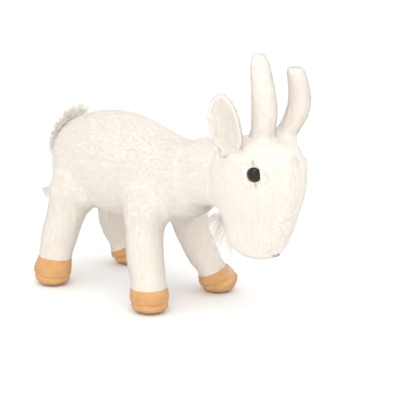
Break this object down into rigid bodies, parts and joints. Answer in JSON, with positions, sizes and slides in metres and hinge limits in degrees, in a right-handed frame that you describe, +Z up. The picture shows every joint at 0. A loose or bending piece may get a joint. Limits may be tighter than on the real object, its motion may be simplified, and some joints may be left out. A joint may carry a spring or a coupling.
{
  "type": "plush goat",
  "caption": "Soft stuffed goat toy standing with its head lowered, with plush horns, leaf ears, a long beard, a fluffy tail and tan hooves.",
  "frame": {"origin": "on the ground, under the middle of the goat's bounding box", "axes": "+Z up, the goat faces -Y, +X is the goat's left side"},
  "size_m": [0.1256, 0.3043, 0.2225],
  "materials": {
    "body_plush": "matte",
    "stuffing": "matte",
    "hoof_plush": "matte",
    "washer_plastic": "matte",
    "eye_gloss": "gloss",
    "dark_thread": "matte",
    "ribbon": "satin",
    "tail_fur": "matte",
    "beard_fur": "matte",
    "ear_lining": "matte"
  },
  "bodies": {
    "torso": {"torso_side_left": "body_plush", "torso_side_right": "body_plush", "belly_gusset": "body_plush", "torso_stuffing": "stuffing", "sewn_in_label": "ribbon"},
    "neck": {"neck_cover": "body_plush", "neck_stuffing": "stuffing"},
    "head": {"head_side_left": "body_plush", "head_side_right": "body_plush", "face_gusset": "body_plush", "chin_panel": "body_plush", "head_stuffing": "stuffing", "eye_left": "eye_gloss", "eye_right": "eye_gloss", "eye_washer_left": "washer_plastic", "eye_washer_right": "washer_plastic", "mouth_stitch": "dark_thread"},
    "beard": {"beard": "beard_fur"},
    "tail": {"tail": "tail_fur"},
    "ear_left": {"ear_left_back": "body_plush", "ear_left_lining": "ear_lining"},
    "horn_left": {"horn_left_cover": "body_plush", "horn_left_stuffing": "stuffing"},
    "ear_right": {"ear_right_back": "body_plush", "ear_right_lining": "ear_lining"},
    "horn_right": {"horn_right_cover": "body_plush", "horn_right_stuffing": "stuffing"},
    "front_left_leg": {"front_left_leg_cover": "body_plush", "front_left_hoof_band": "hoof_plush", "front_left_hoof_sole": "hoof_plush", "front_left_leg_stuffing": "stuffing"},
    "front_right_leg": {"front_right_leg_cover": "body_plush", "front_right_hoof_band": "hoof_plush", "front_right_hoof_sole": "hoof_plush", "front_right_leg_stuffing": "stuffing"},
    "rear_left_leg": {"rear_left_leg_cover": "body_plush", "rear_left_hoof_band": "hoof_plush", "rear_left_hoof_sole": "hoof_plush", "rear_left_leg_stuffing": "stuffing"},
    "rear_right_leg": {"rear_right_leg_cover": "body_plush", "rear_right_hoof_band": "hoof_plush", "rear_right_hoof_sole": "hoof_plush", "rear_right_leg_stuffing": "stuffing"}
  },
  "joints": [
    {"name": "neck_turn", "type": "hinge", "parent": "torso", "child": "neck", "pos_m": [0, -0.0583, 0.117], "axis": [0, 0, 1], "range_deg": [-20, 20], "stiffness_Nm_per_rad": 1.5},
    {"name": "head_nod", "type": "hinge", "parent": "neck", "child": "head", "pos_m": [0, -0.0583, 0.117], "axis": [1, 0, 0], "range_deg": [-15, 10], "stiffness_Nm_per_rad": 2.5},
    {"name": "ear_left_flap", "type": "hinge", "parent": "head", "child": "ear_left", "pos_m": [0.0301, -0.1083, 0.1465], "axis": [0.3244, 0.9272, -0.1873], "range_deg": [-8, 15], "stiffness_Nm_per_rad": 0.02},
    {"name": "horn_left_bend", "type": "hinge", "parent": "head", "child": "horn_left", "pos_m": [0.013, -0.1253, 0.1555], "axis": [1, 0, 0], "range_deg": [-8, 8], "stiffness_Nm_per_rad": 0.15},
    {"name": "ear_right_flap", "type": "hinge", "parent": "head", "child": "ear_right", "pos_m": [-0.0301, -0.1083, 0.1465], "axis": [0.3601, -0.9272, 0.1033], "range_deg": [-8, 15], "stiffness_Nm_per_rad": 0.02},
    {"name": "horn_right_bend", "type": "hinge", "parent": "head", "child": "horn_right", "pos_m": [-0.013, -0.1243, 0.1555], "axis": [1, 0, 0], "range_deg": [-8, 8], "stiffness_Nm_per_rad": 0.15},
    {"name": "beard_swing", "type": "hinge", "parent": "head", "child": "beard", "pos_m": [0, -0.0788, 0.082], "axis": [1, 0, 0], "range_deg": [-15, 10], "stiffness_Nm_per_rad": 0.02},
    {"name": "tail_wag", "type": "hinge", "parent": "torso", "child": "tail", "pos_m": [0, 0.1107, 0.145], "axis": [0, 0.848, 0.5299], "range_deg": [-20, 20], "stiffness_Nm_per_rad": 0.02},
    {"name": "front_left_hip", "type": "hinge", "parent": "torso", "child": "front_left_leg", "pos_m": [0.028, -0.0043, 0.085], "axis": [1, 0, 0], "range_deg": [-15, 15], "stiffness_Nm_per_rad": 2},
    {"name": "front_right_hip", "type": "hinge", "parent": "torso", "child": "front_right_leg", "pos_m": [-0.031, -0.0113, 0.085], "axis": [1, 0, 0], "range_deg": [-15, 15], "stiffness_Nm_per_rad": 2},
    {"name": "rear_left_hip", "type": "hinge", "parent": "torso", "child": "rear_left_leg", "pos_m": [0.028, 0.0877, 0.085], "axis": [1, 0, 0], "range_deg": [-15, 15], "stiffness_Nm_per_rad": 2},
    {"name": "rear_right_hip", "type": "hinge", "parent": "torso", "child": "rear_right_leg", "pos_m": [-0.027, 0.0837, 0.085], "axis": [1, 0, 0], "range_deg": [-15, 15], "stiffness_Nm_per_rad": 2}
  ]
}
